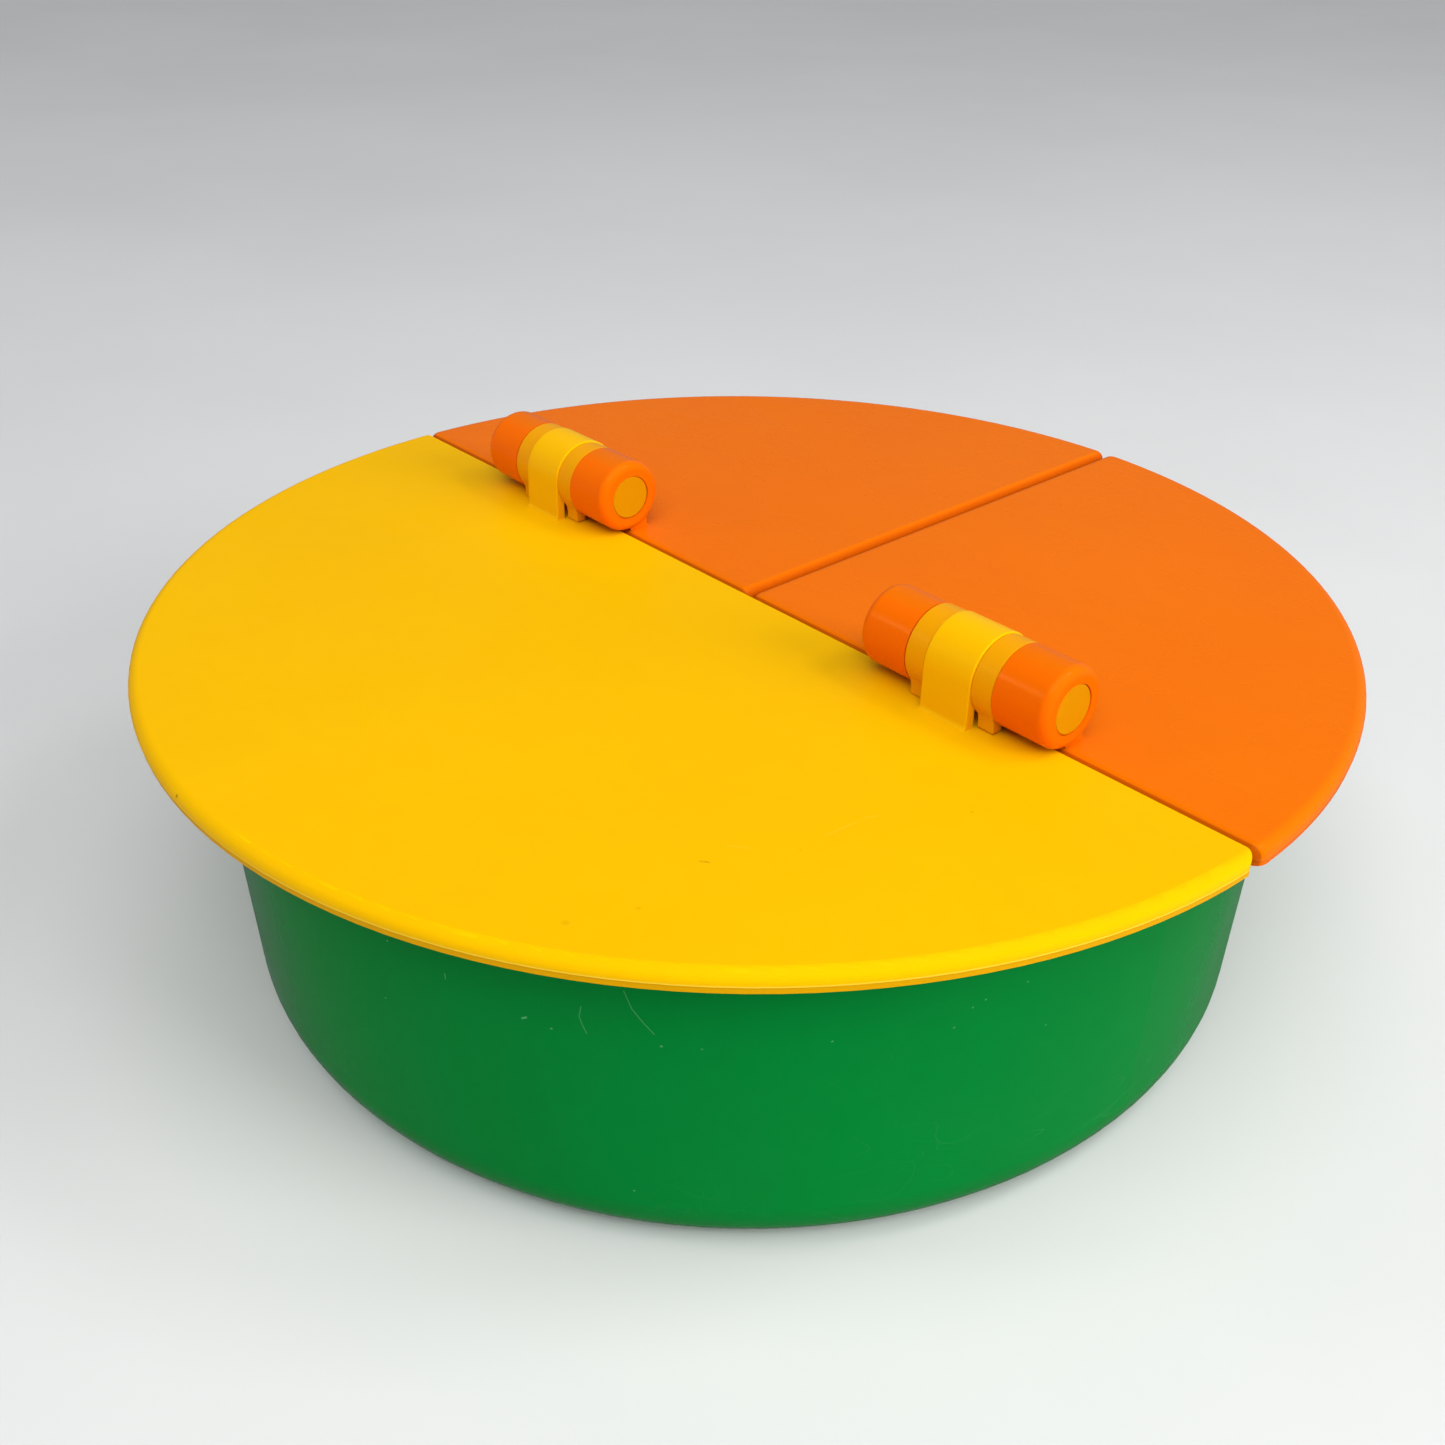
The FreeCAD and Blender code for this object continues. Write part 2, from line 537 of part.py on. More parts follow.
# ---------------------------------------------------------------- flaps
for side, label in ((1, "right_flap"), (-1, "left_flap")):
    body = new_body(label)
    sk = sketch_on(body, label + "_strip", "XY_Plane", strip_low)
    quarter(sk, side, D["lid_radius"] - D["strip_inset"], D["seam_orange"] + D["strip_inset"],
            D["split_half"] + D["strip_inset"])
    pad(body, sk, D["strip_depth"], label + "_strip_pad")
    sk = sketch_on(body, label + "_plate", "XY_Plane", UNDER)
    quarter(sk, side, D["lid_radius"], D["seam_orange"], D["split_half"])
    pad(body, sk, D["plate_thk"], label + "_plate_pad")
    fillet(body, is_upright, D["flap_corner"], label + "_corners", 6)
    sk = sketch_on(body, label + "_hollow", "XY_Plane", strip_low)
    circle(sk, ZERO, ZERO, D["lid_radius"] - D["lip_width"])
    pocket(body, sk, D["strip_depth"] + D["flap_gap"], label + "_hollow_cut", reverse=True)
    fillet(body, lambda e: flat_at(e, top), D["edge_round"], label + "_top_edge")
    # dust rib inside the tub's mouth
    sk = sketch_on(body, label + "_rib", "XY_Plane", UNDER + D["flap_gap"])
    quarter_ring(sk, side, D["flap_rib_radius"], D["flap_rib_radius"] - D["flap_rib_thk"],
                 D["flap_rib_end"], D["flap_rib_end"])
    pad(body, sk, D["flap_rib_depth"], label + "_rib_pad", reverse=True)
    # webs, then knuckles, one each side of the strap and collars
    mid = D["hinge_x"] if side > 0 else -D["hinge_x"]
    for k, word in ((1, "a"), (-1, "b")):
        web_len = D["knuckle_len"] - D["web_inset"]
        start = mid + D["knuckle_start"] if k > 0 else mid - D["knuckle_start"] - web_len
        sk = sketch_on(body, "%s_web_%s" % (label, word), "YZ_Plane", start)
        foot_back = AXIS_Y + D["web_back"] + D["web_flare"]
        polygon(sk, [
            (AXIS_Y + D["web_front"], D["lid_top"] - 1.4),
            (foot_back, D["lid_top"] - 1.4),
            (foot_back, D["lid_top"]),
            (foot_back - D["web_flare"] * 0.7, D["lid_top"] + D["web_flare"] * 0.3),
            (AXIS_Y + D["web_back"], D["lid_top"] + D["web_flare"]),
            (AXIS_Y + D["web_back"], AXIS_Z - 2.4),
            (AXIS_Y + D["web_front"], AXIS_Z - 2.4),
        ])
        pad(body, sk, web_len, "%s_web_%s_pad" % (label, word))
        near = mid + D["knuckle_start"] if k > 0 else mid - D["knuckle_start"]
        far = near + D["knuckle_len"] if k > 0 else near - D["knuckle_len"]
        sk = sketch_on(body, "%s_knuckle_%s" % (label, word), "XY_Plane", AXIS_Z)
        knuckle(sk, near, far, k, AXIS_Y, D["knuckle_radius"], D["knuckle_round"])
        rev = body.newObject("PartDesign::Revolution", "%s_knuckle_%s_turn" % (label, word))
        rev.Profile = sk
        rev.ReferenceAxis = (sk, ["Axis0"])
        rev.Angle = 360.0
        doc.recompute()
    # bore for the pin, through both knuckles
    sk = sketch_on(body, label + "_bore", "YZ_Plane", mid + D["pin_half"] + 2)
    circle(sk, AXIS_Y, AXIS_Z, D["pin_radius"] + D["run_gap"])
    pocket(body, sk, D["pin_half"] * 2 + 4, label + "_bore_cut")

# ---------------------------------------------------------------- hinge hardware
for side, word in ((1, "right"), (-1, "left")):
    mid = D["hinge_x"] if side > 0 else -D["hinge_x"]

    # pin, chamfered at both ends
    pin = new_body(word + "_hinge_pin")
    sk = sketch_on(pin, word + "_pin_section", "YZ_Plane", mid - D["pin_half"])
    circle(sk, AXIS_Y, AXIS_Z, D["pin_radius"])
    pad(pin, sk, D["pin_half"] * 2, word + "_pin_pad")
    pin_pad = pin.Tip
    ch = pin.newObject("PartDesign::Chamfer", word + "_pin_chamfer")
    ch.Base = (pin_pad, edges(pin_pad.Shape, lambda e: is_circle(e, D["pin_radius"].val)))
    ch.Size = 0.35
    doc.recompute()

    # strap: a hook over the pin, with a front wall down to the half lid and a tenon
    strap = new_body(word + "_hinge_strap")
    sk = sketch_on(strap, word + "_strap_side", "YZ_Plane", mid - D["strap_half"])
    hook(sk, AXIS_Y, AXIS_Z, D["strap_radius"], D["strap_wall"], D["strap_lean"], D["strap_foot"],
         D["strap_foot_rise"], D["lid_top"], Q("3.4", 3.4), Q("5.0", 5.0))
    pad(strap, sk, D["strap_half"] * 2, word + "_strap_pad")
    bend_y = (AXIS_Y - D["strap_radius"] - D["strap_lean"]).val
    bend_z = (D["lid_top"] + D["strap_foot_rise"]).val
    fillet(strap, lambda e: all(abs(v.Y - bend_y) < 1e-3 and abs(v.Z - bend_z) < 1e-3 for v in e.Vertexes),
           D["strap_foot_blend"], word + "_strap_foot_bend", 1)
    sx = [(mid + D["strap_half"]).val, (mid - D["strap_half"]).val]
    fillet(strap, lambda e: any(is_circle(e, D["strap_radius"].val, x, 0) for x in sx), D["strap_edge"],
           word + "_strap_edge", 2)
    sk = sketch_on(strap, word + "_strap_bore", "YZ_Plane", mid + D["strap_half"] + 1)
    circle(sk, AXIS_Y, AXIS_Z, D["pin_radius"] + D["seat_gap"])
    pocket(strap, sk, D["strap_half"] * 2 + 2, word + "_strap_bore_cut")
    sk = sketch_on(strap, word + "_strap_tenon", "XY_Plane", D["lid_top"])
    x0, x1 = mid - D["tenon_half"], mid + D["tenon_half"]
    polygon(sk, [(x0, t_lo + D["tenon_gap"]), (x1, t_lo + D["tenon_gap"]),
                 (x1, t_hi - D["tenon_gap"]), (x0, t_hi - D["tenon_gap"])])
    pad(strap, sk, D["plate_thk"], word + "_strap_tenon_pad", reverse=True)

    # collars: spacer rings, each with a leg that stands over the half lid
    for k, place in ((side, "outer"), (-side, "inner")):
        label = "%s_hinge_collar_%s" % (word, place)
        col = new_body(label)
        start = mid + D["collar_start"] if k > 0 else mid - D["collar_start"] - D["collar_len"]
        sk = sketch_on(col, label + "_ring", "YZ_Plane", start)
        circle(sk, AXIS_Y, AXIS_Z, D["collar_radius"])
        pad(col, sk, D["collar_len"], label + "_ring_pad")
        cx = [start.val, start.val + D["collar_len"].val]
        fillet(col, lambda e: any(is_circle(e, D["collar_radius"].val, x, 0) for x in cx), Q("0.25", 0.25),
               label + "_ring_edge", 2)
        start = mid + D["leg_start"] if k > 0 else mid - D["leg_start"] - D["leg_len"]
        sk = sketch_on(col, label + "_leg", "YZ_Plane", start)
        foot = D["lid_top"] + D["leg_gap"]
        leg(sk, AXIS_Y, AXIS_Z, D["collar_radius"], D["leg_front"], D["leg_back"], foot, D["leg_blend"])
        pad(col, sk, D["leg_len"], label + "_leg_pad")
        fillet(col, lambda e: flat_at(e, foot.val), Q("0.6", 0.6), label + "_foot_edge")
        sk = sketch_on(col, label + "_bore", "YZ_Plane", mid + 14)
        circle(sk, AXIS_Y, AXIS_Z, D["pin_radius"] + D["seat_gap"])
        pocket(col, sk, Q("28.0", 28.0), label + "_bore_cut")

doc.recompute()

# ---------------------------------------------------------------- checks and output
bodies = [o for o in doc.Objects if o.TypeId == "PartDesign::Body"]
for o in doc.Objects:
    if "Invalid" in o.State or "Error" in o.State:
        raise RuntimeError("%s failed: %s" % (o.Name, o.State))
for b in bodies:
    if b.Shape.isNull() or not b.Shape.isValid() or len(b.Shape.Solids) != 1:
        raise RuntimeError("%s has no single valid solid" % b.Label)
os.makedirs("parts", exist_ok=True)
for b in bodies:
    b.Shape.exportStep("parts/%s.step" % b.Label)
    bb = b.Shape.BoundBox
    print("%-26s %9.1f mm3  x %.2f %.2f  y %.2f %.2f  z %.2f %.2f" % (
        b.Label, b.Shape.Volume, bb.XMin, bb.XMax, bb.YMin, bb.YMax, bb.ZMin, bb.ZMax))
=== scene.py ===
import math

import bpy
from mathutils import Matrix, Vector

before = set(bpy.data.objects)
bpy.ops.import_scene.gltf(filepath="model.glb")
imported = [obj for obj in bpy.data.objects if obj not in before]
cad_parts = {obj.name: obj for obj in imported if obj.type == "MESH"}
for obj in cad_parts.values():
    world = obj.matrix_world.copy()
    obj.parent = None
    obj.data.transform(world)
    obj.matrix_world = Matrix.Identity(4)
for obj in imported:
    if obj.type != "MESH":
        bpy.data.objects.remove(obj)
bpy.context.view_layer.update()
scene = bpy.context.scene


# ------------------------------------------------------------------ node helpers
class Tree:
    """A material's node tree, with short calls to add nodes."""

    def __init__(self, name):
        self.mat = bpy.data.materials.new(name)
        self.mat.use_nodes = True
        self.nt = self.mat.node_tree
        self.nt.nodes.clear()
        self.coord = self.add("ShaderNodeTexCoord").outputs["Object"]

    def add(self, kind, **props):
        n = self.nt.nodes.new(kind)
        for k, v in props.items():
            setattr(n, k, v)
        return n

    def put(self, socket, value):
        if isinstance(value, bpy.types.NodeSocket):
            self.nt.links.new(value, socket)
        elif value is not None:
            socket.default_value = value

    def math(self, op, a, b=None, c=None, clamp=False):
        n = self.add("ShaderNodeMath", operation=op, use_clamp=clamp)
        for i, v in enumerate((a, b, c)):
            self.put(n.inputs[i], v)
        return n.outputs[0]

    def vmath(self, op, a, b=None, scale=None):
        n = self.add("ShaderNodeVectorMath", operation=op)
        self.put(n.inputs[0], a)
        self.put(n.inputs[1], b)
        if scale is not None:
            self.put(n.inputs["Scale"], scale)
        return n.outputs["Value"] if op in ("DISTANCE", "LENGTH", "DOT_PRODUCT") else n.outputs["Vector"]

    def remap(self, value, lo, hi, to_lo=0.0, to_hi=1.0, smooth=True):
        n = self.add("ShaderNodeMapRange", interpolation_type="SMOOTHSTEP" if smooth else "LINEAR", clamp=True)
        for i, v in enumerate((value, lo, hi, to_lo, to_hi)):
            self.put(n.inputs[i], v)
        return n.outputs[0]

    def noise(self, vector, scale, detail=2.0, rough=0.5, distortion=0.0):
        n = self.add("ShaderNodeTexNoise")
        self.put(n.inputs["Vector"], vector)
        self.put(n.inputs["Scale"], scale)
        self.put(n.inputs["Detail"], detail)
        self.put(n.inputs["Roughness"], rough)
        self.put(n.inputs["Distortion"], distortion)
        return n.outputs["Fac"]

    def voronoi(self, vector, scale):
        n = self.add("ShaderNodeTexVoronoi")
        self.put(n.inputs["Vector"], vector)
        self.put(n.inputs["Scale"], scale)
        return n.outputs["Distance"], n.outputs["Color"]

    def stretch(self, vector, loc=(0, 0, 0), rot=(0, 0, 0), size=(1, 1, 1)):
        n = self.add("ShaderNodeMapping")
        self.put(n.inputs["Vector"], vector)
        self.put(n.inputs["Location"], loc)
        self.put(n.inputs["Rotation"], rot)
        self.put(n.inputs["Scale"], size)
        return n.outputs["Vector"]

    def blend(self, factor, a, b, mode="MIX"):
        n = self.add("ShaderNodeMix", data_type="RGBA", blend_type=mode)
        self.put(n.inputs[0], factor)
        self.put(n.inputs[6], a)
        self.put(n.inputs[7], b)
        return n.outputs[2]

    def bump(self, height, strength, distance, normal=None):
        n = self.add("ShaderNodeBump")
        self.put(n.inputs["Strength"], strength)
        self.put(n.inputs["Distance"], distance)
        self.put(n.inputs["Height"], height)
        self.put(n.inputs["Normal"], normal)
        return n.outputs["Normal"]


def rgb(r, g, b):
    return (r, g, b, 1.0)


def scratches(t, rot, scale, width, chance):
    """Sparse fine straight scratches: narrow ridges of a strongly stretched noise, kept in patches."""
    v = t.stretch(t.coord, (0.37, 0.21, 0.13), rot, (1.0, 0.03, 1.0))
    line = t.math("ABSOLUTE", t.math("SUBTRACT", t.noise(v, scale, 0.0, 0.4, 0.0), 0.5))
    patch = t.noise(t.coord, 24.0, 2.0, 0.5)
    return t.math("MULTIPLY", t.remap(line, 0.0, width, 1.0, 0.0), t.remap(patch, chance, chance + 0.08))


def specks(t, scale, radius, chance):
    """Sparse small dots, radius in metres."""
    d, c = t.voronoi(t.coord, scale)
    sep = t.add("ShaderNodeSeparateColor")
    t.put(sep.inputs[0], c)
    dot = t.remap(d, radius * scale * 0.4, radius * scale, 1.0, 0.0)
    return t.math("MULTIPLY", dot, t.remap(sep.outputs[0], chance, chance + 0.01))


def mark(t, points, half_width, strength):
    """One placed scratch or fleck: a mask along the line through the points, in metres."""
    mask = None
    for a, b in zip(points, points[1:] or [tuple(v + 1e-4 for v in points[0])]):
        a, b = Vector(a), Vector(b)
        run = b - a
        off = t.vmath("SUBTRACT", t.coord, tuple(a))
        h = t.math("DIVIDE", t.vmath("DOT_PRODUCT", off, tuple(run)), run.length_squared, clamp=True)
        d = t.vmath("LENGTH", t.vmath("SUBTRACT", off, t.vmath("SCALE", tuple(run), scale=h)))
        m = t.remap(d, half_width * 0.35, half_width, strength, 0.0)
        mask = m if mask is None else t.math("MAXIMUM", mask, m)
    return mask


def plastic(name, base, deep, pale, dark, rough, spec, tint, scuff=1.0, waviness=1.0,
            light_marks=(), dark_marks=(), knuckle_gap_shade=None, parting_shade_highlight=None):
    """Moulded plastic: pigment clouds, satin variation, fine scratches, dust, moulded skin, placed wear; optional
    painted shade on knuckle sides, split edges and beside the seam, and a painted shaded strip with a painted
    highlight line at the rim's parting line.
    """
    t = Tree(name)
    p = t.coord
    cloud = t.noise(p, 14.0, 3.0, 0.55)
    fine = t.noise(p, 160.0, 2.0, 0.5)
    mix = t.math("ADD", t.math("MULTIPLY", cloud, 0.75), t.math("MULTIPLY", fine, 0.25))
    amount = t.remap(mix, 0.32, 0.68)
    colour = t.blend(amount, rgb(*deep), rgb(*base))
    # Optional painted shade: redder knuckle sides, darker split edges and a dark line beside the seam.
    if knuckle_gap_shade:
        low, high, side_shade_base, side_shade_deep, groove_shade = knuckle_gap_shade
        sep = t.add("ShaderNodeSeparateXYZ")
        t.put(sep.inputs[0], p)
        raised = t.remap(sep.outputs[2], low, high)
        face = t.add("ShaderNodeSeparateXYZ")
        t.put(face.inputs[0], t.add("ShaderNodeTexCoord").outputs["Normal"])
        # Painted shade: knuckle sides that don't face up take the redder shade colours, and the tops keep the flap
        # colour.
        side = t.math("MULTIPLY", raised, t.remap(face.outputs[2], 0.84, 0.995, 1.0, 0.0))
        colour = t.blend(side, colour, t.blend(amount, rgb(*side_shade_deep), rgb(*side_shade_base)))
        # Painted shade: rounded edges facing across the split between the flaps darken towards the groove shade
        # colour.
        split_edge_shade = t.math("MULTIPLY", t.remap(t.math("ABSOLUTE", face.outputs[0]), 0.22, 0.80),
                      t.remap(t.math("ABSOLUTE", sep.outputs[0]), 0.0028, 0.0042, 0.85, 0.0))
        colour = t.blend(split_edge_shade, colour, rgb(*groove_shade))
        # Painted shade: faces turned towards -y next to the seam, below the knuckles, darken to half the groove shade
        # colour.
        seam_gap_shade = t.math("MULTIPLY", t.remap(face.outputs[1], -0.62, -0.47, 0.62, 0.0),
                     t.remap(t.math("ABSOLUTE", sep.outputs[1]), 0.0030, 0.0045, 1.0, 0.0))
        seam_gap_shade = t.math("MULTIPLY", seam_gap_shade, t.math("SUBTRACT", 1.0, raised))
        colour = t.blend(seam_gap_shade, colour, rgb(*(0.5 * v for v in groove_shade)))
    # Painted shade and highlight at the rim: a darker strip below the parting line and a pale painted highlight line
    # along it.
    if parting_shade_highlight:
        sep = t.add("ShaderNodeSeparateXYZ")
        t.put(sep.inputs[0], p)
        far = t.remap(t.vmath("LENGTH", t.vmath("MULTIPLY", p, (1, 1, 0))), 0.1485, 0.1492)
        rim_strip_shade = t.math("MULTIPLY", t.remap(sep.outputs[2], parting_shade_highlight[0] - 0.00025, parting_shade_highlight[0] - 0.00010, 1.0, 0.0), far)
        line = t.math("MULTIPLY", t.remap(t.math("ABSOLUTE", t.math("SUBTRACT", sep.outputs[2], parting_shade_highlight[0] + 0.00012)),
                                          0.00012, 0.00032, 1.0, 0.0), t.math("MULTIPLY", far, parting_shade_highlight[3]))
        colour = t.blend(t.math("MULTIPLY", rim_strip_shade, parting_shade_highlight[1]), colour, rgb(*parting_shade_highlight[2]))
        colour = t.blend(line, colour, rgb(*pale))
    lines = t.math("MAXIMUM", scratches(t, (0.2, 0.1, 0.5), 150.0, 0.010, 0.55),
                   scratches(t, (0.9, 0.3, 2.1), 190.0, 0.008, 0.57))
    dust = specks(t, 55.0, 0.00016, 0.86)
    wear = t.math("MAXIMUM", t.math("MULTIPLY", lines, 0.035 * scuff), t.math("MULTIPLY", dust, 0.28 * scuff))
    for points, half_width, strength in light_marks:
        wear = t.math("MAXIMUM", wear, mark(t, points, half_width, strength))
    colour = t.blend(wear, colour, rgb(*pale))
    soil = t.math("MULTIPLY", specks(t, 31.0, 0.00022, 0.93), 0.35 * scuff)
    for points, half_width, strength in dark_marks:
        soil = t.math("MAXIMUM", soil, mark(t, points, half_width, strength))
    colour = t.blend(soil, colour, rgb(*dark))
    smear = t.noise(t.stretch(p, (0, 0, 0), (0, 0, 0.4), (1, 2.2, 1)), 22.0, 4.0, 0.6)
    r = t.math("ADD", rough - 0.06, t.math("MULTIPLY", t.remap(smear, 0.3, 0.72), 0.12))
    r = t.math("ADD", r, t.math("MULTIPLY", t.math("MAXIMUM", wear, soil), 0.5), clamp=True)
    if knuckle_gap_shade:
        r = t.math("SUBTRACT", r, t.math("MULTIPLY", raised, 0.09), clamp=True)
    normal = t.bump(t.noise(p, 30.0, 1.0, 0.4), 0.12 * waviness, 0.00022)
    normal = t.bump(t.noise(p, 1500.0, 2.0, 0.5), 0.12, 0.00002, normal)
    normal = t.bump(wear, 0.10 * scuff, -0.00003, normal)
    b = t.add("ShaderNodeBsdfPrincipled")
    t.put(b.inputs["Base Color"], colour)
    t.put(b.inputs["Roughness"], r)
    t.put(b.inputs["Specular IOR Level"], spec)
    t.put(b.inputs["Specular Tint"], rgb(*tint))
    t.put(b.inputs["Normal"], normal)
    out = t.add("ShaderNodeOutputMaterial")
    t.put(out.inputs["Surface"], b.outputs[0])
    return t.mat


TUB_LIGHT = [
    ([(0.0824, -0.1049, 0.0746), (0.0834, -0.1038, 0.0701), (0.0850, -0.1023, 0.0667), (0.0864, -0.1009, 0.0641)], 0.00019, 0.24),
    ([(0.0751, -0.1099, 0.0688), (0.0746, -0.1101, 0.0661), (0.0750, -0.1097, 0.0640), (0.0756, -0.1092, 0.0619)], 0.00019, 0.24),
    ([(0.0640, -0.1164, 0.0622), (0.0648, -0.1160, 0.0627)], 0.00034, 0.60),
    ([(0.0485, -0.1239, 0.0679), (0.0485, -0.1239, 0.0664)], 0.00022, 0.38),
]
for spot, size in (((0.0693, -0.1133, 0.0612), 0.00033), ((0.0873, -0.1000, 0.0610), 0.00033),
                   ((0.0932, -0.0946, 0.0610), 0.00026), ((0.1095, -0.0752, 0.0627), 0.00028),
                   ((0.1216, -0.0534, 0.0617), 0.00026), ((0.0310, -0.1288, 0.0530), 0.00026),
                   ((0.0348, -0.1286, 0.0704), 0.00024), ((0.0809, -0.1029, 0.0183), 0.00026),
                   ((0.1232, -0.0501, 0.0660), 0.00026), ((0.1242, -0.0476, 0.0673), 0.00024),
                   ((0.1273, -0.0388, 0.0690), 0.00024), ((0.1285, -0.0323, 0.0548), 0.00026)):
    TUB_LIGHT.append(([spot], size, 0.42))
TUB_DARK = [([(-0.0076, -0.1322, 0.0522)], 0.0005, 0.5), ([(0.0294, -0.1273, 0.0120)], 0.0005, 0.5)]
LID_LIGHT = [([(0.0076, -0.1446, 0.0940), (0.0088, -0.1441, 0.0940)], 0.00035, 0.6),
             ([(0.0903, -0.0600, 0.0944), (0.0911, -0.0520, 0.0944)], 0.00022, 0.16),
             ([(0.0911, -0.0500, 0.0944), (0.0925, -0.0465, 0.0944)], 0.00022, 0.16),
             ([(0.0800, -0.0770, 0.0944), (0.0840, -0.0740, 0.0944)], 0.00022, 0.14)]
LID_DARK = [([(-0.0086, -0.1497, 0.0930)], 0.0006, 0.75),
            ([(0.0808, -0.0842, 0.0944), (0.0822, -0.0832, 0.0944)], 0.00042, 0.30), ([(0.0816, -0.0834, 0.0944)], 0.00028, 0.5),
            ([(0.0792, -0.1153, 0.0944)], 0.0010, 0.16), ([(0.0845, -0.1025, 0.0944)], 0.0007, 0.14),
            ([(0.1038, -0.0318, 0.0944)], 0.0003, 0.45), ([(0.0907, -0.0671, 0.0944)], 0.0003, 0.2)]

green = plastic("green_plastic", (0.0004, 0.205, 0.0300), (0.0003, 0.194, 0.0277), (0.16, 0.52, 0.24), (0.002, 0.05, 0.015),
                0.20, 0.08, (0.30, 1.0, 0.55), 1.0, 1.0, TUB_LIGHT, TUB_DARK)
# Yellow lid: the last argument paints a shaded strip below the rim's parting line and a pale painted highlight line
# along it.
yellow = plastic("yellow_plastic", (0.855, 0.465, 0.0006), (0.84, 0.447, 0.0005), (0.97, 0.68, 0.06), (0.25, 0.11, 0.004),
                 0.42, 0.05, (1.0, 0.72, 0.05), 0.6, 1.0, LID_LIGHT, LID_DARK,
                 None, (0.0913, 0.50, (0.55, 0.22, 0.0006), 0.5))
# Orange flaps: painted redder shade on knuckle sides, painted shade at the split and seam edges, and a painted shaded
# rim strip with a faint painted highlight line.
orange = plastic("orange_plastic", (0.80, 0.158, 0.0005), (0.785, 0.150, 0.0004), (0.97, 0.36, 0.06), (0.25, 0.04, 0.002),
                 0.28, 0.12, (1.0, 0.75, 0.16), 0.25, 0.3, (), (),
                 (0.0966, 0.0990, (0.90, 0.149, 0.0006), (0.88, 0.141, 0.0005), (0.56, 0.082, 0.0004)),
                 (0.0913, 0.25, (0.55, 0.08, 0.0006), 0.12))
# Strap: a lighter copy of the lid yellow, painted light.
strap_lit_yellow = plastic("strap_lit_plastic", (0.925, 0.492, 0.0008), (0.91, 0.474, 0.0007), (0.97, 0.68, 0.06), (0.25, 0.11, 0.004),
                  0.34, 0.20, (1.0, 0.70, 0.06), 0.5)
# Collars: a darker amber copy of the yellow, painted shade.
collar_shaded_amber = plastic("collar_shaded_plastic", (0.835, 0.350, 0.0008), (0.82, 0.335, 0.0007), (0.97, 0.62, 0.06), (0.25, 0.10, 0.004),
                0.36, 0.28, (1.0, 0.66, 0.10), 0.5)
# Pin ends: a darker amber copy of the yellow, painted shade and painted reflection of the orange knuckles.
pin_shaded = plastic("pin_shaded_plastic", (0.63, 0.268, 0.0006), (0.615, 0.255, 0.0005), (0.97, 0.58, 0.06), (0.25, 0.10, 0.004),
                0.42, 0.24, (1.0, 0.62, 0.10), 0.5)

finish = {"tub": green, "half_lid": yellow, "right_flap": orange, "left_flap": orange}
for side in ("right", "left"):
    finish[side + "_hinge_pin"] = pin_shaded
    finish[side + "_hinge_strap"] = strap_lit_yellow
    for k in ("outer", "inner"):
        finish["%s_hinge_collar_%s" % (side, k)] = collar_shaded_amber
for node, mat in finish.items():
    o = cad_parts[node]
    o.data.materials.clear()
    o.data.materials.append(mat)

# ------------------------------------------------------------------ stage
mesh = bpy.data.meshes.new("floor")
S = 6.0
mesh.from_pydata([(-S, -S, -0.0002), (S, -S, -0.0002), (S, S, -0.0002), (-S, S, -0.0002)], [], [(0, 1, 2, 3)])
floor = bpy.data.objects.new("floor", mesh)
scene.collection.objects.link(floor)
t = Tree("floor_paint")
b = t.add("ShaderNodeBsdfPrincipled")
n = t.noise(t.coord, 3.0, 4.0, 0.6)
t.put(b.inputs["Base Color"], t.blend(t.remap(n, 0.3, 0.7), rgb(0.69, 0.695, 0.70), rgb(0.72, 0.725, 0.73)))
t.put(b.inputs["Roughness"], 0.75)
t.put(b.inputs["Specular IOR Level"], 0.2)
out = t.add("ShaderNodeOutputMaterial")
t.put(out.inputs["Surface"], b.outputs[0])
mesh.materials.append(t.mat)
floor.visible_glossy = False

# ------------------------------------------------------------------ light
world = bpy.data.worlds.new("studio")
scene.world = world
world.use_nodes = True
world.node_tree.nodes["Background"].inputs[0].default_value = (0.93, 0.96, 1.0, 1.0)
world.node_tree.nodes["Background"].inputs[1].default_value = 0.19


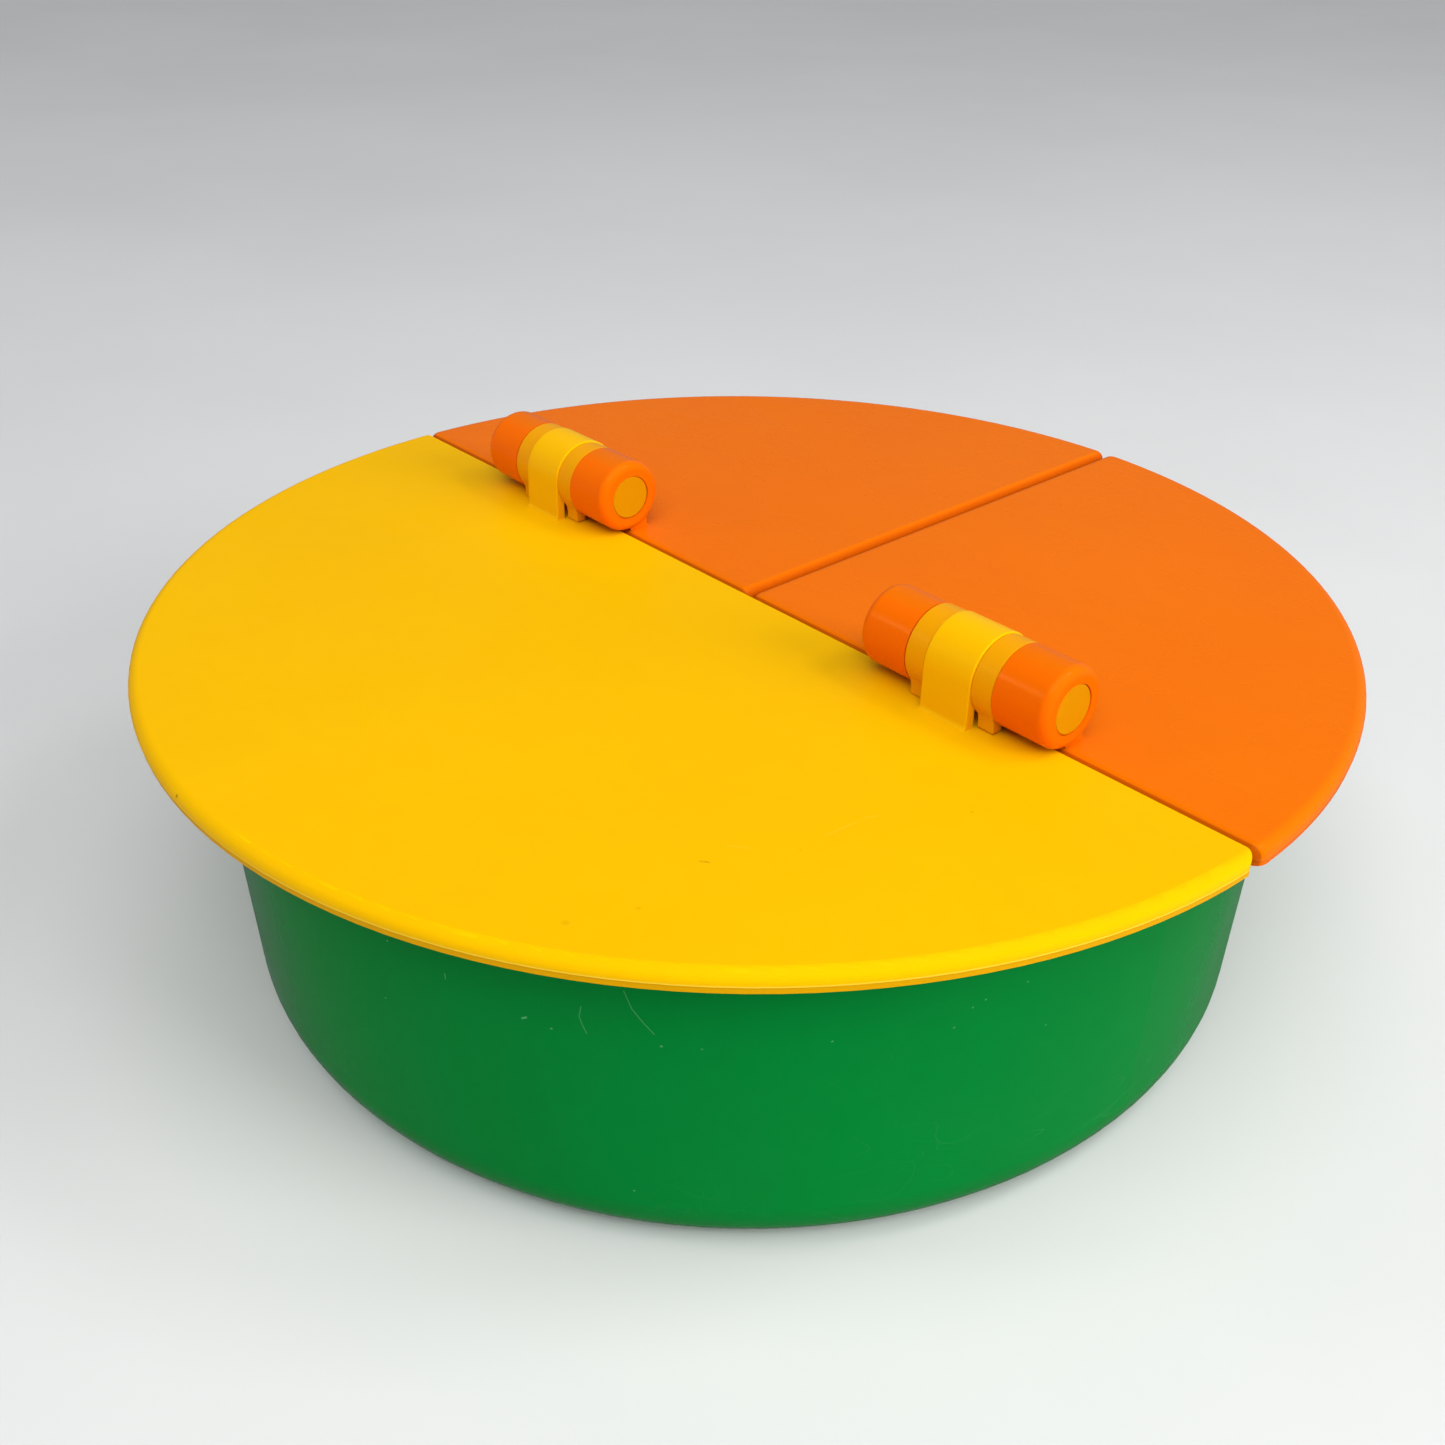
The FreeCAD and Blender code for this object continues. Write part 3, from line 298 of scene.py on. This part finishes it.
def softbox(name, pos, aim, size, power, colour=(1, 1, 1), mirrored=True):
    d = bpy.data.lights.new(name, "AREA")
    d.shape = "RECTANGLE"
    d.size, d.size_y = size
    d.energy = power
    d.color = colour
    o = bpy.data.objects.new(name, d)
    o.location = pos
    o.rotation_mode = "QUATERNION"
    o.rotation_quaternion = (Vector(aim) - Vector(pos)).to_track_quat("-Z", "Y")
    o.visible_glossy = mirrored
    scene.collection.objects.link(o)


softbox("overhead", (0.45, -0.40, 1.35), (0, 0, 0.09), (1.2, 1.2), 3.8, (1.0, 0.985, 0.96))
softbox("side", (1.5, 0.5, 0.75), (0, 0, 0.06), (1.0, 0.9), 18.5, (1.0, 0.99, 0.97), False)
softbox("front", (0.70, -0.78, 1.12), (0, 0, 0.05), (0.8, 0.5), 5.0, (0.97, 0.985, 1.0), False)
softbox("window", (0.66, 0.54, 1.17), (0, 0, 0.09), (0.34, 0.34), 3.2, (1.0, 0.99, 0.97))
softbox("left", (-0.74, -1.04, 0.80), (0.08, 0, 0.10), (0.2, 0.2), 1.25, (1.0, 0.99, 0.97))
ceiling = bpy.data.lights.new("ceiling", "SUN")
ceiling.energy = 1.17
ceiling.angle = math.radians(60)
lamp = bpy.data.objects.new("ceiling", ceiling)
lamp.rotation_mode = "QUATERNION"
lamp.rotation_quaternion = Vector((-0.306, 0.287, -0.912)).to_track_quat("-Z", "Y")
scene.collection.objects.link(lamp)

# ------------------------------------------------------------------ camera
cam = bpy.data.cameras.new("camera")
cam.sensor_fit = "HORIZONTAL"
cam.sensor_width = 36.0
cam.lens = 40.255
cam.clip_start, cam.clip_end = 0.01, 50.0
eye = bpy.data.objects.new("camera", cam)
right = Vector((0.65909, 0.75205, 0.00433)).normalized()
back = Vector((0.64431, -0.56761, 0.51253)).normalized()
up = back.cross(right).normalized()
m = Matrix.Identity(4)
for i, a in enumerate((right, up, back)):
    m.col[i] = (a.x, a.y, a.z, 0.0)
m.col[3] = (0.27359, -0.24854, 0.27670, 1.0)
eye.matrix_world = m
scene.collection.objects.link(eye)
scene.camera = eye

scene.view_settings.view_transform = "Standard"
scene.view_settings.look = "None"
scene.view_settings.exposure = 0.0
scene.view_settings.gamma = 1.0
